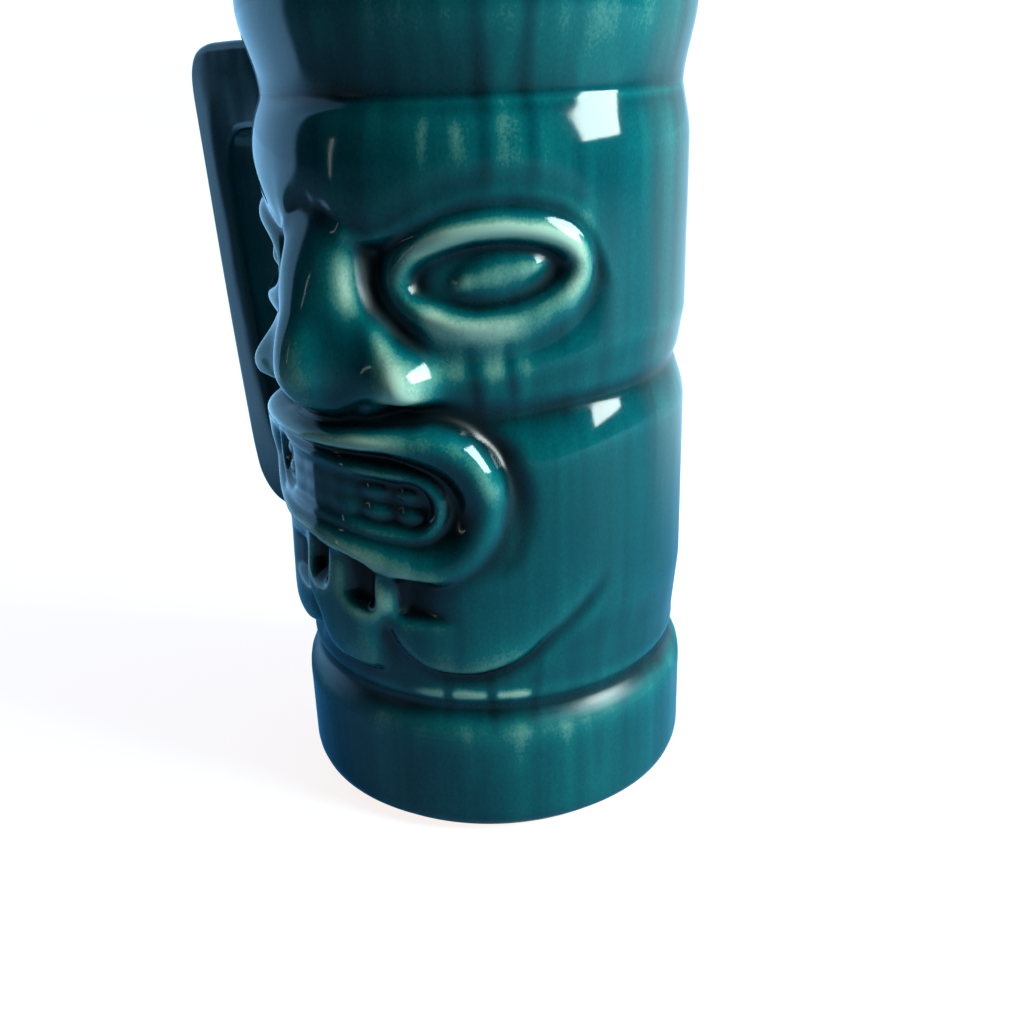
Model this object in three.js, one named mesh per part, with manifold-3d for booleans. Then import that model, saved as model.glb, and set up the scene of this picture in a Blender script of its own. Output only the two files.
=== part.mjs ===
// A slip-cast tiki mug: a glazed shell with a carved-style face in relief, a strap handle
// luted to it with slip at two places, and a bare foot that it stands on.
//
// Millimetres, +Z up. The origin is the centre of the foot's underside. The face looks
// toward -Y and the handle is on -X, so the mug is held in the right hand with the face
// toward the guest.

import * as THREE from 'three';
import { mergeVertices } from 'three/addons/utils/BufferGeometryUtils.js';
import Module from 'manifold-3d';

const manifold = await Module();
manifold.setup();

// ---- Driving dimensions -----------------------------------------------------------------

const RADIUS = 40;                 // of the plain foot band; arcs on the face are measured on it
const HEIGHT = 166;
const WALL = 4.4;
const FLOOR_TOP = 7;
const CLEARANCE = 0.3;             // gap between neighbouring solids

const FOOT = { radius: 37.4, thickness: 1, chamfer: 0.5 };

const HATLINE = 136;               // where the hat sits on the head
const WAIST = { z: 84.3, rise: 3.7, depth: 2.9, reach: 9 };
const HEAD_INSET = 1;
const FACE_FULLNESS = 1.2;         // how much further the face side swells than the back
const BRIM = { inset: 2.4, top: 151, notch: 1.4, above: 2, below: 8 };
const BROW = { radius: 40.3, round: 6.8, overhang: 4.5, topRound: 11, topFall: 3.6, middleSwell: 1.5 };
const EYE = { across: 30.6, z: 109, halfWidth: 15.8, halfHeight: 7.8, tilt: 0.06, floor: 38.1, rim: 40.3 };
const EYEBALL = { across: 32.4, z: 109.2, halfWidth: 9.6, halfHeight: 4, tilt: 0.19, swell: 1.5 };
const SOCKET = { depth: 2.7, cornerAcross: 12.5, cornerZ: 110.5 };
const NOSE_WING = { across: 16.5, z: 91.5, size: 4.8, swell: 2.2 };
const MOUTH = { z: 69.9, halfLength: 17.8, halfHeight: 11.4, lipRadius: 42.3, inside: 39.2 };
const TEETH = { plateLength: 15.2, plateHeight: 5.7, plateTop: 41.5, halfWidth: 2.85, halfHeight: 1.95 };
const TOOTH_PLACES = [3.3, 9.5, 15.6];
const JOWL = { radius: 41.5, inner: 6.4, round: 5.5, fall: 2.8 };
const CHIN = { radius: 44.2, bottom: 33.5, halfWidth: 7.4, flare: 3.6 };
const FRONT_POCKET = { across: 5, z: 56, halfWidth: 3.2, halfHeight: 6.2, corner: 2.6 };
const SIDE_POCKET = { across: 18.4, z: 51.2, halfWidth: 7.2, halfHeight: 4.8, corner: 2.4 };
const POCKET_DEPTH = 3.6;

const HANDLE = { width: 19, bevel: 3, inset: -43 };
const UPPER_LUTE = { bottom: 124.5, top: 149 };
const LOWER_LUTE = { bottom: 39, top: 61 };
const LUTE = { halfWidth: 12, corner: 5, innerX: -34 };

const COLUMNS = 84;                // round the mug, closer together across the face
const FRONT_CROWDING = 0.45;

// ---- Small shaping functions ------------------------------------------------------------

const { clamp } = THREE.MathUtils;

// Goes smoothly from 0 at `from` to 1 at `to`.
function ease(from, to, x) {
  const t = clamp((x - from) / (to - from), 0, 1);
  return t * t * (3 - 2 * t);
}

function bump(x, width) {
  return Math.exp(-((x / width) ** 2));
}

// Greater of a and b, with a fillet where they meet.
function blendUp(a, b, fillet) {
  const overlap = Math.max(fillet - Math.abs(a - b), 0);
  return Math.max(a, b) + (overlap * overlap) / (4 * fillet);
}

// How far a rounded edge falls in, at a distance inside the edge.
function edgeFall(distance, span, fall) {
  const t = clamp(1 - distance / span, 0, 1);
  return fall * (1 - Math.sqrt(1 - t * t));
}

// 1 at the middle of a groove with eased lips, 0 beyond its two half widths.
function groove(offset, below, above) {
  const t = Math.sqrt(offset * offset + 0.8) / (offset > 0 ? above : below);
  return clamp(1 - t, 0, 1) ** 1.5;
}

// Half an ellipsoid of height 1 over its outline, or none outside it.
function dome(across, up, halfWidth, halfHeight) {
  return Math.sqrt(Math.max(1 - (across / halfWidth) ** 2 - (up / halfHeight) ** 2, 0));
}

// Signed distances to outlines: a slot with round ends, a box with round corners, an oval.
function slotDistance(across, up, halfLength, halfHeight) {
  return Math.hypot(Math.max(Math.abs(across) - halfLength, 0), up) - halfHeight;
}

function boxDistance(across, up, { halfWidth, halfHeight, corner }) {
  const beyond = Math.max(Math.abs(across) - halfWidth + corner, 0);
  const above = Math.max(Math.abs(up) - halfHeight + corner, 0);
  return Math.hypot(beyond, above) - corner;
}

function ovalDistance(across, up, { halfWidth, halfHeight }) {
  const q = Math.hypot(across / halfWidth, up / halfHeight);
  const slope = Math.hypot(across / halfWidth ** 2, up / halfHeight ** 2);
  return ((q - 1) * q) / Math.max(slope * q, 1e-6);
}

// Smooth line through [position, value] points, level beyond the first and the last.
function lineThrough(points) {
  const last = points.length - 1;
  const slopes = points.map(([x, y], i) => {
    const [x0, y0] = points[Math.max(i - 1, 0)];
    const [x1, y1] = points[Math.min(i + 1, last)];
    const before = i > 0 ? (y - y0) / (x - x0) : (y1 - y) / (x1 - x);
    const after = i < last ? (y1 - y) / (x1 - x) : before;
    return (before * (x1 - x) + after * (x - x0)) / (x1 - x0);
  });
  return (position) => {
    const x = clamp(position, points[0][0], points[last][0]);
    const i = clamp(points.findIndex((p) => p[0] >= x) - 1, 0, last - 1);
    const width = points[i + 1][0] - points[i][0];
    const t = (x - points[i][0]) / width;
    const from = points[i][1] + width * slopes[i] * t;
    const to = points[i + 1][1] - width * slopes[i + 1] * (1 - t);
    const turn = points[i][1] + (points[i + 1][1] - points[i][1]) * ease(0, 1, t);
    return turn + (from - points[i][1]) * (1 - t) ** 2 + (to - points[i + 1][1]) * t ** 2;
  };
}

// Outlines on the face by distance from its centre line, and profiles by height.
const browEdge = lineThrough([[0, 119.4], [3, 118.8], [7, 116.6], [11, 115.3], [14, 116], [18, 118],
  [24, 120.8], [30, 121.9], [38, 121.6], [44, 119.2], [48, 115.5], [52, 108]]);
const jowlEdge = lineThrough([[6.6, 52], [8, 46.5], [10.4, 41.3], [14.5, 37.2], [21, 35.4], [29, 36.2],
  [35.5, 38.8], [41, 43.6], [46, 47.8], [51, 52.4], [58, 58]]);
const ankleProfile = lineThrough([[18, 40.2], [21.4, 40.15], [23.4, 39.75], [25, 38.8], [26.4, 37.75],
  [27.6, 37.4], [28.8, 37.8], [30.2, 38.35], [32.5, 38.4], [38, 38.9], [45, 39.6]]);
const noseCrest = lineThrough([[81.5, 0], [84, 3.8], [87, 7.8], [91, 10.5], [95, 10.9], [99, 9.9],
  [104, 7.5], [110, 5.2], [115, 3], [119, 1], [123, 0.2], [127, 0], [130, 0]]);
const noseFlank = lineThrough([[82, 2], [85, 3.8], [88, 4.8], [93, 5.2], [97, 5], [101, 4.9], [106, 5.2],
  [111, 4.4], [116, 2.4], [120, 0.8], [125, 0.2], [130, 0]]);
const noseSide = lineThrough([[82, 17], [84, 20], [86, 22], [88, 23.4], [92, 23.6], [96, 21.6],
  [100, 17.8], [105, 13.4], [110, 11.6], [115, 10.2], [120, 9.6], [130, 10]]);

// ---- The mug's outer surface ------------------------------------------------------------
// `arc` is the distance from the face's centre line, measured round the foot band and
// positive toward the face's left; `across` is the same distance on either side.

function bandRadius(across, z) {
  const face = 1 - ease(46, 78, across);
  const waist = WAIST.z + WAIST.rise * ease(24, 62, across);
  const swelling = ankleProfile(z) + face * FACE_FULLNESS * ease(38, 50, z);
  const head = z < HATLINE ? HEAD_INSET * ease(waist, waist + 7, z) : 0;
  const brim = (BRIM.inset + 0.5 * face) * (1 - ease(HATLINE, BRIM.top, z));
  const notch = (BRIM.notch + 0.5 * face) * groove(z - HATLINE, BRIM.below, BRIM.above);
  return swelling - head - WAIST.depth * groove(z - waist, WAIST.reach, WAIST.reach)
    - (z > HATLINE ? brim : notch);
}

function browRadius(across, z) {
  const up = z - browEdge(across);
  if (up < 0 || z > HATLINE) return 0;
  return BROW.radius - edgeFall(up, BROW.round, BROW.overhang)
    - edgeFall(HATLINE - z, BROW.topRound, BROW.topFall)
    + BROW.middleSwell * bump(across, 15) - 2.2 * ease(34, 60, across);
}

function withEyes(base, across, z) {
  const eyeAcross = across - EYE.across;
  const rim = ovalDistance(eyeAcross, z - EYE.z - EYE.tilt * eyeAcross, EYE);
  const corner = bump(across - SOCKET.cornerAcross, 4.6) * bump(z - SOCKET.cornerZ, 7);
  const hollow = Math.min(1 - ease(1.2, 6.4, rim) + 1.4 * corner, 1.5);
  const socket = SOCKET.depth * hollow * ease(-0.4, 3, browEdge(across) - z) * (1 - ease(46, 55, across));
  const head = blendUp(base - socket, browRadius(across, z), 1);
  const noseSideDrop = 0.9 * (1 - ease(15, 25, across));
  const floor = EYE.floor + 0.5 * ease(18, 40, across) - noseSideDrop;
  const bowl = rim < 0 ? Math.min(head, floor + 2.4 * ease(-6.8, -0.6, rim)) : head;
  const ring = blendUp(bowl, EYE.rim - noseSideDrop - 1.6 * (rim / 2.5) ** 2, 1.5);
  const ballAcross = (across - EYEBALL.across) / EYEBALL.halfWidth;
  const ballUp = z - EYEBALL.z - EYEBALL.tilt * (across - EYEBALL.across);
  const ballHeight = Math.max(EYEBALL.halfHeight * (1 - ballAcross ** 2), 0.8);
  const lens = bump(ballUp / ballHeight, 0.75) * (1 - ease(0.6, 1.05, Math.abs(ballAcross)));
  return ring + EYEBALL.swell * lens;
}

function noseHeight(across, z) {
  const bridge = noseCrest(z) * Math.exp(-((across / 8.2) ** 2.2));
  const flank = noseFlank(z) * (1 - ease(0.64, 1, across / noseSide(z)));
  const wing = NOSE_WING.swell * bump(across - NOSE_WING.across, 4.6)
    * bump(z - NOSE_WING.z, NOSE_WING.size);
  const under = ease(0, 3.6, z - 82 - 4 * ease(6, 15, across));
  const arch = Math.hypot((across - 11.3) * 0.75, z - 84.6) - 3.6;
  const nostril = bump(arch, 0.8) * ease(84, 86, z);
  return (blendUp(bridge, flank, 3) + wing) * under - nostril;
}

// The grin is higher on the face's right side, so its shape depends on the signed arc.
function mouthShape(arc, z) {
  const across = Math.abs(arc);
  const lift = arc > -5 ? 5.2 * bump(arc + 5, 14) : 5.2 + 1.6 * ease(-5, -20, arc);
  const up = z - MOUTH.z;
  const stretched = up < 0 ? (up * MOUTH.halfHeight) / (12.8 - lift) : up;
  const lip = slotDistance(across, stretched, MOUTH.halfLength, MOUTH.halfHeight);
  return { across, up, stretched, lip, plateUp: up - 0.45 * lift + 0.6, full: 3.2 * bump(across, 17) };
}

function teethRadius(arc, mouth) {
  const { across, plateUp, full } = mouth;
  const plateEdge = slotDistance(across, plateUp, TEETH.plateLength, TEETH.plateHeight);
  const top = TEETH.plateTop + 0.8 * full;
  const deep = 0.4 + 1.6 * (arc > 0 ? ease(3, 10, across) : ease(11, 14, across));
  const plate = top - 0.4 - (plateEdge < 0 ? deep * ease(-0.4, -2.2, plateEdge) : 0.5 * plateEdge ** 2);
  let radius = plate + 0.4 * bump(plateEdge + 0.1, 0.9);
  for (const place of TOOTH_PLACES) {
    for (const row of [TEETH.halfHeight, -TEETH.halfHeight]) {
      const height = dome(across - place, plateUp - row, TEETH.halfWidth, TEETH.halfHeight);
      if (height > 0) radius = blendUp(radius, top - 0.5 - deep * (1.1 - 0.9 * height), 0.4);
    }
  }
  return radius;
}

function withMouth(base, arc, z, mouth) {
  const { across, up, stretched, lip, full } = mouth;
  const thin = ease(0, 5, up) * (1 - ease(11, 22, across));
  const lipWidth = lip > 0 ? 3.7 - 0.9 * thin : 5.4 - 3.3 * thin;
  const lipRadius = MOUTH.lipRadius + full + 0.7 * ease(-2, 4, up) - 3.2 * (lip / lipWidth) ** 2;
  const inside = MOUTH.inside + 0.75 * full + 1.4 * ease(0, -8, stretched);
  const furrow = 1.7 * bump(lip - 5.2, 2.3) * ease(54, 60, z) * (1 - ease(79, 84, z));
  const filled = lip < -2.8 ? blendUp(inside, teethRadius(arc, mouth), 0.8) : inside;
  return blendUp(lip < 0 ? filled : base - furrow, Math.abs(lip) < 8 ? lipRadius : 0, 1.2);
}

function pocketDepth(arc, z) {
  const across = Math.abs(arc);
  const front = boxDistance(across - FRONT_POCKET.across, z + 0.3 * arc - FRONT_POCKET.z, FRONT_POCKET);
  const side = boxDistance(across - SIDE_POCKET.across, z - SIDE_POCKET.z, SIDE_POCKET);
  return POCKET_DEPTH * (ease(0.4, -1.8, front) + 0.8 * ease(0.4, -1.8, side) * (1 - ease(13, 24, across)));
}

function withJaw(base, arc, z, lip) {
  const across = Math.abs(arc);
  const up = z - jowlEdge(across);
  const jowl = JOWL.radius - edgeFall(up, JOWL.round, JOWL.fall) - edgeFall(across - JOWL.inner, 5, 3.2)
    - 2.4 * ease(24, 50, across) - 0.7 * ease(42, 56, z);
  const crescent = 0.9 * bump(up + 0.6, 2.2) * ease(12, 20, across)
    * (1 - ease(46, 53, across)) * (1 - ease(58, 62, z));
  const chinWidth = CHIN.halfWidth + CHIN.flare * ease(43, 50, z);
  const chin = CHIN.radius - edgeFall(z - CHIN.bottom, 14, 6.2) - 2.2 * (across / chinWidth) ** 3
    - ease(50, 60, z);
  const withJowl = blendUp(base - crescent, up > 0 && across > JOWL.inner ? jowl : 0, 1.2);
  const jaw = blendUp(withJowl, z > CHIN.bottom && across < 14 ? chin : 0, 1.4);
  const below = ease(1.6, 4.2, lip) * (1 - ease(62, 76, z));
  return base * (1 - below) + below * jaw - pocketDepth(arc, z) * ease(1, 2.6, lip);
}

function outerRadius(bearing, z) {
  const arc = bearing * RADIUS;
  const across = Math.abs(arc);
  const head = withEyes(bandRadius(across, z), across, z) + noseHeight(across, z);
  const mouth = mouthShape(arc, z);
  return withJaw(withMouth(head, arc, z, mouth), arc, z, mouth.lip);
}

// The inside follows the hollows of the outside softly, and meets the floor in a round corner.
function innerRadius(bearing, z) {
  const offsets = [-7, -3.5, 0, 3.5, 7];
  let total = 0;
  for (const side of offsets) {
    for (const up of offsets) {
      total += outerRadius(bearing + side / RADIUS, clamp(z + up, FLOOR_TOP, HEIGHT));
    }
  }
  const cornerRadius = 9;
  const rise = clamp((z - FLOOR_TOP) / cornerRadius, 0, 1);
  const wall = Math.min(total / offsets.length ** 2, RADIUS) - WALL;
  return wall - cornerRadius * (1 - Math.sqrt(1 - (1 - rise) ** 2));
}

// ---- Solids built from rings ------------------------------------------------------------

const bearings = Array.from({ length: COLUMNS }, (_, i) => {
  const turn = (2 * i) / COLUMNS - 1;
  return Math.PI * turn - FRONT_CROWDING * Math.sin(Math.PI * turn);
});

// A ring is a height and a radius that depends on the bearing.
function ringPoints({ z, radius }) {
  return bearings.map((bearing) => {
    const r = radius(bearing);
    return new THREE.Vector3(r * Math.sin(bearing), -r * Math.cos(bearing), z);
  });
}

// Closed solid through a sequence of rings, from its bottom centre to its last centre.
function ringSolid(rings, firstZ, lastZ) {
  const points = rings.flatMap(ringPoints);
  points.push(new THREE.Vector3(0, 0, firstZ), new THREE.Vector3(0, 0, lastZ));
  const first = points.length - 2;
  const last = points.length - 1;
  const faces = [];
  for (let column = 0; column < COLUMNS; column += 1) {
    const next = (column + 1) % COLUMNS;
    faces.push(first, next, column);
    for (let row = 0; row < rings.length - 1; row += 1) {
      const a = row * COLUMNS;
      const b = a + COLUMNS;
      faces.push(a + column, a + next, b + next);
      faces.push(a + column, b + next, b + column);
    }
    const top = (rings.length - 1) * COLUMNS;
    faces.push(last, top + column, top + next);
  }
  const geometry = new THREE.BufferGeometry().setFromPoints(points);
  geometry.setIndex(faces);
  return geometry;
}

function levels(from, to, count) {
  return Array.from({ length: count }, (_, i) => from + ((to - from) * i) / count);
}

function outerRing(z, grow = 0) {
  return { z, radius: (bearing) => outerRadius(bearing, z) + grow };
}

function bodyRings() {
  const underside = FOOT.thickness + CLEARANCE;
  const edge = { height: 3.8, fall: 2.1 };
  const footEdge = [0, 0.15, 0.45].map((part) => ({
    z: underside + edge.height * part,
    radius: (bearing) => outerRadius(bearing, underside) - edgeFall(part, 1, edge.fall),
  }));
  const outside = [...levels(underside + edge.height, 24, 4), ...levels(24, 138, 44), ...levels(138, 163, 5)]
    .map((z) => outerRing(z));
  const lip = { z: HEIGHT - 2, roundness: 2 };
  const rim = [0, 0.25, 0.5, 0.75, 1].map((t) => ({
    z: lip.z + lip.roundness * Math.sin(t * Math.PI),
    radius: (bearing) => {
      const outer = outerRadius(bearing, lip.z);
      const inner = innerRadius(bearing, lip.z);
      return (outer + inner) / 2 + ((outer - inner) / 2) * Math.cos(t * Math.PI);
    },
  }));
  const inside = [158, 146, 137, 128, 112, 98, 86, 72, 48, 28, 16, 11.5, 8.6, FLOOR_TOP]
    .map((z) => ({ z, radius: (bearing) => innerRadius(bearing, z) }));
  return [...footEdge, ...outside, ...rim, ...inside];
}

function bodyGeometry() {
  return ringSolid(bodyRings(), FOOT.thickness + CLEARANCE, FLOOR_TOP);
}

function footGeometry() {
  const { radius, thickness, chamfer } = FOOT;
  const profile = [[0, 0], [radius - chamfer, 0], [radius, chamfer], [radius, thickness], [0, thickness]];
  const lathe = new THREE.LatheGeometry(profile.map(([r, z]) => new THREE.Vector2(r, z)), 64);
  return lathe.rotateX(Math.PI / 2);
}

// ---- Handle -----------------------------------------------------------------------------
// Seen from the side: a flat-topped arm, a bar leaning in toward the bottom, and a lower
// arm, with a finger gap between the bar and the mug.

function handleProfile() {
  const outline = new THREE.Shape();
  outline.moveTo(HANDLE.inset, 145.6);
  outline.lineTo(-64, 145.6);
  outline.quadraticCurveTo(-74.4, 145.4, -74, 135);
  outline.lineTo(-72.9, 119);
  outline.lineTo(-70.2, 80);
  outline.lineTo(-66.9, 53.5);
  outline.quadraticCurveTo(-65.6, 43.4, -56, 42.5);
  outline.lineTo(HANDLE.inset, 42.5);
  outline.lineTo(HANDLE.inset, 57.5);
  outline.lineTo(-50, 57.5);
  outline.quadraticCurveTo(-57.4, 58, -58, 65);
  outline.lineTo(-63.8, 121);
  outline.quadraticCurveTo(-64, 127.6, -56, 128);
  outline.lineTo(HANDLE.inset, 128);
  return outline;
}

function handleGeometry() {
  const body = new THREE.ExtrudeGeometry(handleProfile(), {
    depth: HANDLE.width - 2 * HANDLE.bevel,
    curveSegments: 6,
    bevelThickness: HANDLE.bevel,
    bevelSize: HANDLE.bevel,
    bevelOffset: -HANDLE.bevel,
    bevelSegments: 3,
  });
  body.translate(0, 0, HANDLE.bevel - HANDLE.width / 2);
  return body.rotateX(Math.PI / 2);
}

// ---- Lutes: the fired slip that joins the handle to the mug -------------------------------

function toSolid(geometry) {
  const plain = geometry.clone();
  plain.deleteAttribute('normal');
  plain.deleteAttribute('uv');
  const merged = mergeVertices(plain, 1e-4);
  return new manifold.Manifold(new manifold.Mesh({
    numProp: 3,
    vertProperties: new Float32Array(merged.attributes.position.array),
    triVerts: new Uint32Array(merged.index.array),
  }));
}

function toGeometry(solid) {
  const mesh = solid.getMesh();
  const geometry = new THREE.BufferGeometry();
  geometry.setAttribute('position', new THREE.BufferAttribute(mesh.vertProperties, 3));
  geometry.setIndex(new THREE.BufferAttribute(mesh.triVerts, 1));
  return geometry;
}

// The mug as one solid without its hollow, grown by the clearance.
function mugEnvelope() {
  const rings = [...levels(24, 150, 42), 150].map((z) => outerRing(z, CLEARANCE));
  return toSolid(ringSolid(rings, 24, 150));
}

function lutePad({ bottom, top }) {
  const { halfWidth, corner, innerX } = LUTE;
  const outerX = HANDLE.inset + CLEARANCE;
  const outline = new THREE.Shape();
  outline.moveTo(-halfWidth + corner, bottom);
  outline.absarc(halfWidth - corner, bottom + corner, corner, -Math.PI / 2, 0, false);
  outline.absarc(halfWidth - corner, top - corner, corner, 0, Math.PI / 2, false);
  outline.absarc(-halfWidth + corner, top - corner, corner, Math.PI / 2, Math.PI, false);
  outline.absarc(-halfWidth + corner, bottom + corner, corner, Math.PI, 1.5 * Math.PI, false);
  const pad = new THREE.ExtrudeGeometry(outline, {
    depth: innerX - outerX,
    curveSegments: 4,
    bevelEnabled: false,
  });
  const upright = new THREE.Matrix4().makeBasis(
    new THREE.Vector3(0, 1, 0),
    new THREE.Vector3(0, 0, 1),
    new THREE.Vector3(1, 0, 0),
  );
  return pad.applyMatrix4(upright).translate(outerX, 0, 0);
}

function luteGeometry(place, envelope) {
  return toGeometry(toSolid(lutePad(place)).subtract(envelope));
}

// ---- Assembly ---------------------------------------------------------------------------

function piece(name, geometry, color, roughness) {
  const material = new THREE.MeshStandardMaterial({ color, roughness, metalness: 0 });
  const mesh = new THREE.Mesh(geometry, material);
  mesh.name = name;
  return mesh;
}

const GLAZE = '#1d6468';
const GLAZE_ROUGHNESS = 0.12;
const envelope = mugEnvelope();

const mug = new THREE.Group();
mug.add(
  piece('mug_body', bodyGeometry(), GLAZE, GLAZE_ROUGHNESS),
  piece('bare_foot', footGeometry(), '#d8cbb4', 0.85),
  piece('handle', handleGeometry(), GLAZE, GLAZE_ROUGHNESS),
  piece('upper_handle_lute', luteGeometry(UPPER_LUTE, envelope), GLAZE, GLAZE_ROUGHNESS),
  piece('lower_handle_lute', luteGeometry(LOWER_LUTE, envelope), GLAZE, GLAZE_ROUGHNESS),
);

export default mug;
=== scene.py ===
import math

import bpy
import numpy as np
from mathutils import Matrix, Vector


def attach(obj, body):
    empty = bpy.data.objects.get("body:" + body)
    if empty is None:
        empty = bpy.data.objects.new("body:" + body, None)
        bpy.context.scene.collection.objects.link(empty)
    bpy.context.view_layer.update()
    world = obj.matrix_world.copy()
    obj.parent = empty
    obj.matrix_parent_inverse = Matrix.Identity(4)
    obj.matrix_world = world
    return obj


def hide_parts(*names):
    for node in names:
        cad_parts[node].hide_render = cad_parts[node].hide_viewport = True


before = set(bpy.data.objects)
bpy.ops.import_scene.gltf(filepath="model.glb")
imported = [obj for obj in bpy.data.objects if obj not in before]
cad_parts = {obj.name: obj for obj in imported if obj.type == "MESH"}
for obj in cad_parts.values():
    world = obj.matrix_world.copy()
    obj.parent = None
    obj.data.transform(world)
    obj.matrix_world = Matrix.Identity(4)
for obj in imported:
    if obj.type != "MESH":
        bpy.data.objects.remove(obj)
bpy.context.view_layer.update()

# The mug is a slip-cast cylinder with a face raised on it. Its outside is one height field,
# radius(u, z), in millimetres. The arc u is measured round a 40 mm cylinder from the middle of
# the nose, positive towards the face's own left, and s is the same arc without its sign. z is
# the height over the foot.
MM = 0.001
ARC_RADIUS = 40.0
HALF_TURN = math.pi * ARC_RADIUS
HEIGHT = 166.0
HATLINE = 136.0
WALL = 4.4
FLOOR_TOP = 7.0
HEAD_INSET = 1.0
UNDERSIDE = 1.3
NO_RELIEF = 30.0  # a radius under every surface, where a feature isn't there

WAIST, WAIST_RISE = 84.3, 3.7
EYE_ARC, EYE_HEIGHT, EYE_TILT = 30.6, 109.0, 0.06
EYE_HALF_WIDTH, EYE_HALF_HEIGHT = 15.8, 7.8
EYEBALL_ARC, EYEBALL_HEIGHT, EYEBALL_TILT, EYEBALL_HALF_WIDTH = 32.4, 109.2, 0.19, 9.6
BROW_RADIUS = 40.3
EYE_RIM_RADIUS = 40.3
MOUTH_HEIGHT = 69.9
LIP_RADIUS, LIP_HALF_LENGTH, LIP_HALF_HEIGHT = 42.3, 17.8, 11.4
PLATE_RADIUS, PLATE_HALF_LENGTH, PLATE_HALF_HEIGHT = 41.5, 15.2, 5.7
TOOTH_ARCS, TOOTH_ROWS = (3.3, 9.5, 15.6), (1.95, -1.95)
TOOTH_HALF_WIDTH, TOOTH_HALF_HEIGHT = 2.85, 1.95
POCKET_DEPTH = 3.6
JOWL_RADIUS, JOWL_INNER_EDGE = 41.5, 6.4
CHIN_RADIUS, CHIN_BOTTOM, CHIN_HALF_WIDTH = 44.2, 33.5, 14
GLAZE_SETBACK = 0.03


# ---------------------------------------------------------------- shaping curves
def step(a, b, x):
    t = np.clip((x - a) / (b - a), 0, 1)
    return t * t * (3 - 2 * t)


def bump(x, width):
    return np.exp(-((x / width) ** 2))


def blend_up(a, b, fillet):
    overlap = np.maximum(fillet - np.abs(a - b), 0)
    return np.maximum(a, b) + overlap**2 / (4 * fillet)


def edge_fall(distance, span, fall):
    t = np.clip(1 - distance / span, 0, 1)
    return fall * (1 - np.sqrt(1 - t * t))


def groove(offset, below, above):
    t = np.sqrt(offset**2 + 0.8) / np.where(offset > 0, above, below)
    return np.clip(1 - t, 0, 1) ** 1.5


def dome(across, up, half_width, half_height):
    q = (across / half_width) ** 2 + (up / half_height) ** 2
    return np.sqrt(np.maximum(1 - q, 0))


def slot_distance(across, up, half_length, half_height):
    return np.hypot(np.maximum(np.abs(across) - half_length, 0), up) - half_height


def box_distance(across, up, half_width, half_height, corner):
    beyond = np.maximum(np.abs(across) - half_width + corner, 0)
    above = np.maximum(np.abs(up) - half_height + corner, 0)
    return np.hypot(beyond, above) - corner


def oval_distance(across, up, half_width, half_height):
    q = np.hypot(across / half_width, up / half_height)
    slope = np.hypot(across / half_width**2, up / half_height**2)
    return (q - 1) * q / np.maximum(slope * q, 1e-6)


def line_through(points, x):
    """A smooth line through (x, y) points, level beyond the first and the last."""
    xs, ys = (np.array(v, float) for v in zip(*points))
    x = np.clip(x, xs[0], xs[-1])
    i = np.clip(np.searchsorted(xs, x) - 1, 0, len(xs) - 2)
    slope = np.gradient(ys, xs)
    h = xs[i + 1] - xs[i]
    t = (x - xs[i]) / h
    return (
        (2 * t**3 - 3 * t**2 + 1) * ys[i]
        + (t**3 - 2 * t**2 + t) * h * slope[i]
        + (3 * t**2 - 2 * t**3) * ys[i + 1]
        + (t**3 - t**2) * h * slope[i + 1]
    )


# ---------------------------------------------------------------- the carved relief
BROW_EDGE = [
    (0, 119.4), (3, 118.8), (7, 116.6), (11, 115.3), (14, 116.0), (18, 118.0),
    (24, 120.8), (30, 121.9), (38, 121.6), (44, 119.2), (48, 115.5), (52, 108),
]
JOWL_EDGE = [
    (6.6, 52), (8.0, 46.5), (10.4, 41.3), (14.5, 37.2), (21, 35.4), (29, 36.2),
    (35.5, 38.8), (41, 43.6), (46, 47.8), (51, 52.4), (58, 58),
]
ANKLE_PROFILE = [
    (18, 40.2), (21.4, 40.15), (23.4, 39.75), (25.0, 38.8), (26.4, 37.75), (27.6, 37.4),
    (28.8, 37.8), (30.2, 38.35), (32.5, 38.4), (38, 38.9), (45, 39.6),
]
NOSE_CREST = [
    (81.5, 0), (84, 3.8), (87, 7.8), (91, 10.5), (95, 10.9), (99, 9.9), (104, 7.5),
    (110, 5.2), (115, 3.0), (119, 1.0), (123, 0.2), (127, 0), (130, 0),
]
NOSE_FLANK = [
    (82, 2.0), (85, 3.8), (88, 4.8), (93, 5.2), (97, 5.0), (101, 4.9), (106, 5.2),
    (111, 4.4), (116, 2.4), (120, 0.8), (125, 0.2), (130, 0),
]
NOSE_SIDE = [
    (82, 17), (84, 20.0), (86, 22.0), (88, 23.4), (92, 23.6), (96, 21.6), (100, 17.8),
    (105, 13.4), (110, 11.6), (115, 10.2), (120, 9.6), (130, 10),
]


def bands(s, z, face):
    """The plain mug: hat, head and jaw bands with grooves between them, and the foot band."""
    waist = WAIST + WAIST_RISE * step(24, 62, s)
    r = line_through(ANKLE_PROFILE, z) + face * 1.2 * step(38, 50, z)
    r = r - 2.9 * groove(z - waist, 9, 9) - HEAD_INSET * step(waist, waist + 7, z) * (z < HATLINE)
    brim = (2.4 + 0.5 * face) * (1 - step(HATLINE, 151, z))
    notch = (1.4 + 0.5 * face) * groove(z - HATLINE, 8, 2)
    return r - np.where(z > HATLINE, brim, notch)


def eye_rim_distance(s, z):
    """The distance outside the middle line of the eye's rim, below 0 inside it."""
    across, up = s - EYE_ARC, z - EYE_HEIGHT
    return oval_distance(across, up - EYE_TILT * across, EYE_HALF_WIDTH, EYE_HALF_HEIGHT)


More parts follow.
